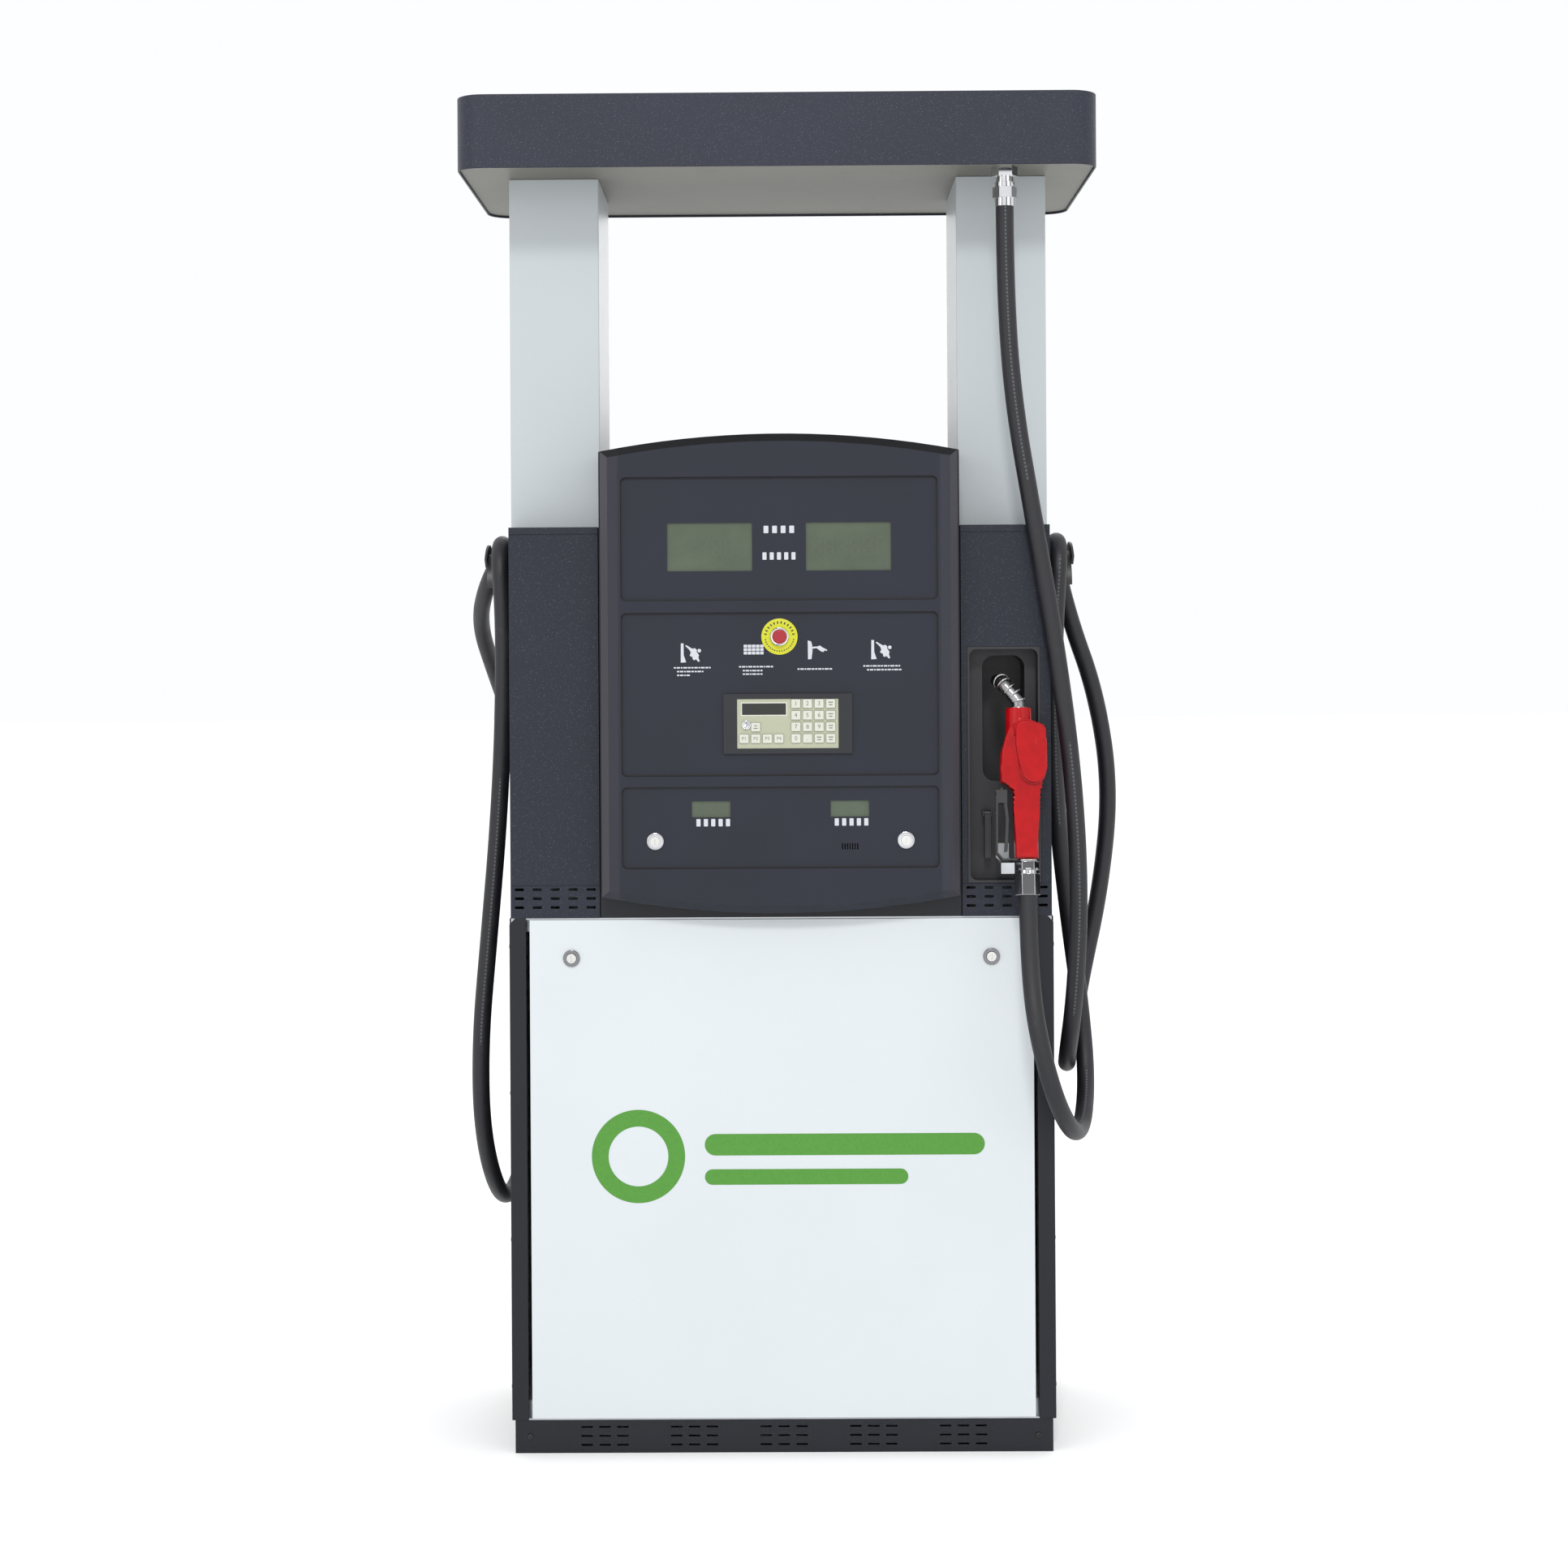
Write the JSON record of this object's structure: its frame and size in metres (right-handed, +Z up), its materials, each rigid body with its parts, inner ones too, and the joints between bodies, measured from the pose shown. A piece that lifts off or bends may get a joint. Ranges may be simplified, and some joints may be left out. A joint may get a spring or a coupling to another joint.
{
  "type": "fuel dispenser",
  "caption": "Free-standing two-sided fuel dispenser: cabinet with lift-off doors, display heads, columns, canopy, and a hose and nozzle hung in a boot on each side.",
  "frame": {"origin": "bottom centre of the plinth, on the floor", "axes": "+Z up; -Y is the front side, whose nozzle hangs at +X; the rear side is the front turned half a turn about Z"},
  "size_m": [1.1665, 0.8485, 2.264],
  "materials": {
    "plinth_black": "satin",
    "frame_steel": "galvanised",
    "panel_black": "textured",
    "column_white": "satin",
    "canopy_anthracite": "fine speckle",
    "underside_grey": "satin",
    "head_black": "satin",
    "cowl_black": "fine texture",
    "boot_black": "matt",
    "hook_black": "satin",
    "chrome": "polished",
    "cast_iron": "painted",
    "motor_paint": "painted",
    "meter_alloy": "cast",
    "pipe_steel": "plain",
    "board_green": "matt",
    "belt_rubber": "matt",
    "hose_rubber": "matt",
    "pulley_iron": "turned",
    "door_white": "satin",
    "bezel_black": "fine texture",
    "lcd_glass": "satin",
    "keypad_black": "gloss",
    "key_rubber": "satin",
    "button_red": "gloss",
    "nozzle_red": "gloss",
    "spout_steel": "bright",
    "guard_black": "matt",
    "lever_black": "matt"
  },
  "bodies": {
    "root": {"base_plinth": "plinth_black", "cabinet_frame": "frame_steel", "side_panels": "panel_black", "left_column": "column_white", "right_column": "column_white", "canopy_shell": "canopy_anthracite", "canopy_underside": "underside_grey", "head_box": "head_black", "left_cowl": "cowl_black", "right_cowl": "cowl_black", "front_nozzle_boot": "boot_black", "rear_nozzle_boot": "boot_black", "hose_hooks": "hook_black", "hose_outlets": "chrome", "pump_unit": "cast_iron", "drive_motor": "motor_paint", "flow_meters": "meter_alloy", "pipework": "pipe_steel", "control_boards": "board_green", "drive_belt": "belt_rubber", "front_hose": "hose_rubber", "rear_hose": "hose_rubber"},
    "motor_pulley": {"motor_pulley": "pulley_iron"},
    "pump_pulley": {"pump_pulley": "pulley_iron"},
    "front_door": {"front_door": "door_white", "front_door_lock_barrels": "chrome"},
    "front_bezel": {"front_bezel": "bezel_black", "front_display_glass": "lcd_glass", "front_display_boards": "board_green", "front_keypad_panel": "keypad_black"},
    "front_nozzle": {"front_nozzle_body": "nozzle_red", "front_nozzle_spout": "spout_steel", "front_nozzle_guard": "guard_black"},
    "front_door_lock_left": {"front_door_lock_left": "chrome"},
    "front_door_lock_right": {"front_door_lock_right": "chrome"},
    "front_bezel_lock_left": {"front_bezel_lock_left": "chrome"},
    "front_bezel_lock_right": {"front_bezel_lock_right": "chrome"},
    "front_key_mat": {"front_key_mat": "key_rubber"},
    "front_stop_button": {"front_stop_button": "button_red"},
    "front_nozzle_lever": {"front_nozzle_lever": "lever_black"},
    "front_nozzle_swivel": {"front_nozzle_swivel": "chrome"},
    "front_boot_switch": {"front_boot_switch": "boot_black"},
    "rear_door": {"rear_door": "door_white", "rear_door_lock_barrels": "chrome"},
    "rear_bezel": {"rear_bezel": "bezel_black", "rear_display_glass": "lcd_glass", "rear_display_boards": "board_green", "rear_keypad_panel": "keypad_black"},
    "rear_nozzle": {"rear_nozzle_body": "nozzle_red", "rear_nozzle_spout": "spout_steel", "rear_nozzle_guard": "guard_black"},
    "rear_door_lock_left": {"rear_door_lock_left": "chrome"},
    "rear_door_lock_right": {"rear_door_lock_right": "chrome"},
    "rear_bezel_lock_left": {"rear_bezel_lock_left": "chrome"},
    "rear_bezel_lock_right": {"rear_bezel_lock_right": "chrome"},
    "rear_key_mat": {"rear_key_mat": "key_rubber"},
    "rear_stop_button": {"rear_stop_button": "button_red"},
    "rear_nozzle_lever": {"rear_nozzle_lever": "lever_black"},
    "rear_nozzle_swivel": {"rear_nozzle_swivel": "chrome"},
    "rear_boot_switch": {"rear_boot_switch": "boot_black"}
  },
  "joints": [
    {"name": "front_door_tilt", "type": "hinge", "parent": "root", "child": "front_door", "pos_m": [0, -0.214, 0.058], "axis": [1, 0, 0], "range_deg": [0, 3]},
    {"name": "front_door_lock_left_turn", "type": "hinge", "parent": "front_door", "child": "front_door_lock_left", "pos_m": [-0.351, -0.214, 0.829], "axis": [0, 1, 0], "range_deg": [0, 90]},
    {"name": "front_bezel_lock_left_turn", "type": "hinge", "parent": "front_bezel", "child": "front_bezel_lock_left", "pos_m": [-0.2076, -0.256, 1.027], "axis": [0, 1, 0], "range_deg": [0, 90]},
    {"name": "front_door_lock_right_turn", "type": "hinge", "parent": "front_door", "child": "front_door_lock_right", "pos_m": [0.351, -0.214, 0.829], "axis": [0, 1, 0], "range_deg": [0, 90]},
    {"name": "front_bezel_lock_right_turn", "type": "hinge", "parent": "front_bezel", "child": "front_bezel_lock_right", "pos_m": [0.2076, -0.256, 1.027], "axis": [0, 1, 0], "range_deg": [0, 90]},
    {"name": "front_bezel_open", "type": "hinge", "parent": "root", "child": "front_bezel", "pos_m": [0, -0.214, 1.692], "axis": [-1, 0, 0], "range_deg": [0, 75]},
    {"name": "front_stop_press", "type": "slide", "parent": "front_bezel", "child": "front_stop_button", "axis": [0, 1, 0], "range_m": [0, 0.004], "stiffness_N_per_m": 400, "springref_m": -0.001},
    {"name": "front_key_press", "type": "slide", "parent": "front_bezel", "child": "front_key_mat", "axis": [0, 1, 0], "range_m": [0, 0.0012], "stiffness_N_per_m": 800, "springref_m": -0.0005},
    {"name": "front_nozzle_lift", "type": "slide", "parent": "root", "child": "front_nozzle", "axis": [0, -0.9848, 0.1736], "range_m": [0, 0.1]},
    {"name": "front_lever_squeeze", "type": "hinge", "parent": "front_nozzle", "child": "front_nozzle_lever", "pos_m": [0.371, -0.26141, 1.0908], "axis": [0, -0.9903, 0.1392], "range_deg": [0, 7], "stiffness_Nm_per_rad": 1, "springref_deg": -5.73},
    {"name": "front_swivel_turn", "type": "hinge", "parent": "front_nozzle", "child": "front_nozzle_swivel", "pos_m": [0.406, -0.27783, 0.97395], "axis": [0, 0.1392, 0.9903], "continuous": true},
    {"name": "front_switch_swing", "type": "hinge", "parent": "root", "child": "front_boot_switch", "pos_m": [0.347, -0.189, 1.066], "axis": [-1, 0, 0], "range_deg": [0, 12]},
    {"name": "rear_door_tilt", "type": "hinge", "parent": "root", "child": "rear_door", "pos_m": [0, 0.214, 0.058], "axis": [-1, 0, 0], "range_deg": [0, 3]},
    {"name": "rear_door_lock_left_turn", "type": "hinge", "parent": "rear_door", "child": "rear_door_lock_left", "pos_m": [0.351, 0.214, 0.829], "axis": [0, -1, 0], "range_deg": [0, 90]},
    {"name": "rear_bezel_lock_left_turn", "type": "hinge", "parent": "rear_bezel", "child": "rear_bezel_lock_left", "pos_m": [0.2076, 0.256, 1.027], "axis": [0, -1, 0], "range_deg": [0, 90]},
    {"name": "rear_door_lock_right_turn", "type": "hinge", "parent": "rear_door", "child": "rear_door_lock_right", "pos_m": [-0.351, 0.214, 0.829], "axis": [0, -1, 0], "range_deg": [0, 90]},
    {"name": "rear_bezel_lock_right_turn", "type": "hinge", "parent": "rear_bezel", "child": "rear_bezel_lock_right", "pos_m": [-0.2076, 0.256, 1.027], "axis": [0, -1, 0], "range_deg": [0, 90]},
    {"name": "rear_bezel_open", "type": "hinge", "parent": "root", "child": "rear_bezel", "pos_m": [0, 0.214, 1.692], "axis": [1, 0, 0], "range_deg": [0, 75]},
    {"name": "rear_stop_press", "type": "slide", "parent": "rear_bezel", "child": "rear_stop_button", "axis": [0, -1, 0], "range_m": [0, 0.004], "stiffness_N_per_m": 400, "springref_m": -0.001},
    {"name": "rear_key_press", "type": "slide", "parent": "rear_bezel", "child": "rear_key_mat", "axis": [0, -1, 0], "range_m": [0, 0.0012], "stiffness_N_per_m": 800, "springref_m": -0.0005},
    {"name": "rear_nozzle_lift", "type": "slide", "parent": "root", "child": "rear_nozzle", "axis": [0, 0.9848, 0.1736], "range_m": [0, 0.1]},
    {"name": "rear_lever_squeeze", "type": "hinge", "parent": "rear_nozzle", "child": "rear_nozzle_lever", "pos_m": [-0.371, 0.26141, 1.0908], "axis": [0, 0.9903, 0.1392], "range_deg": [0, 7], "stiffness_Nm_per_rad": 1, "springref_deg": -5.73},
    {"name": "rear_swivel_turn", "type": "hinge", "parent": "rear_nozzle", "child": "rear_nozzle_swivel", "pos_m": [-0.406, 0.27783, 0.97395], "axis": [0, -0.1392, 0.9903], "continuous": true},
    {"name": "rear_switch_swing", "type": "hinge", "parent": "root", "child": "rear_boot_switch", "pos_m": [-0.347, 0.189, 1.066], "axis": [1, 0, 0], "range_deg": [0, 12]},
    {"name": "pump_pulley_spin", "type": "hinge", "parent": "root", "child": "pump_pulley", "pos_m": [0.12, -0.14, 0.25], "axis": [0, 1, 0], "continuous": true},
    {"name": "motor_pulley_spin", "type": "hinge", "parent": "root", "child": "motor_pulley", "pos_m": [-0.23, -0.14, 0.24], "axis": [0, 1, 0], "continuous": true}
  ],
  "couplings": [
    {"joint": "front_switch_swing", "follows": "front_nozzle_lift", "rad_per_m": 2.09},
    {"joint": "rear_switch_swing", "follows": "rear_nozzle_lift", "rad_per_m": 2.09},
    {"joint": "motor_pulley_spin", "follows": "pump_pulley_spin", "ratio": 2.1521}
  ]
}
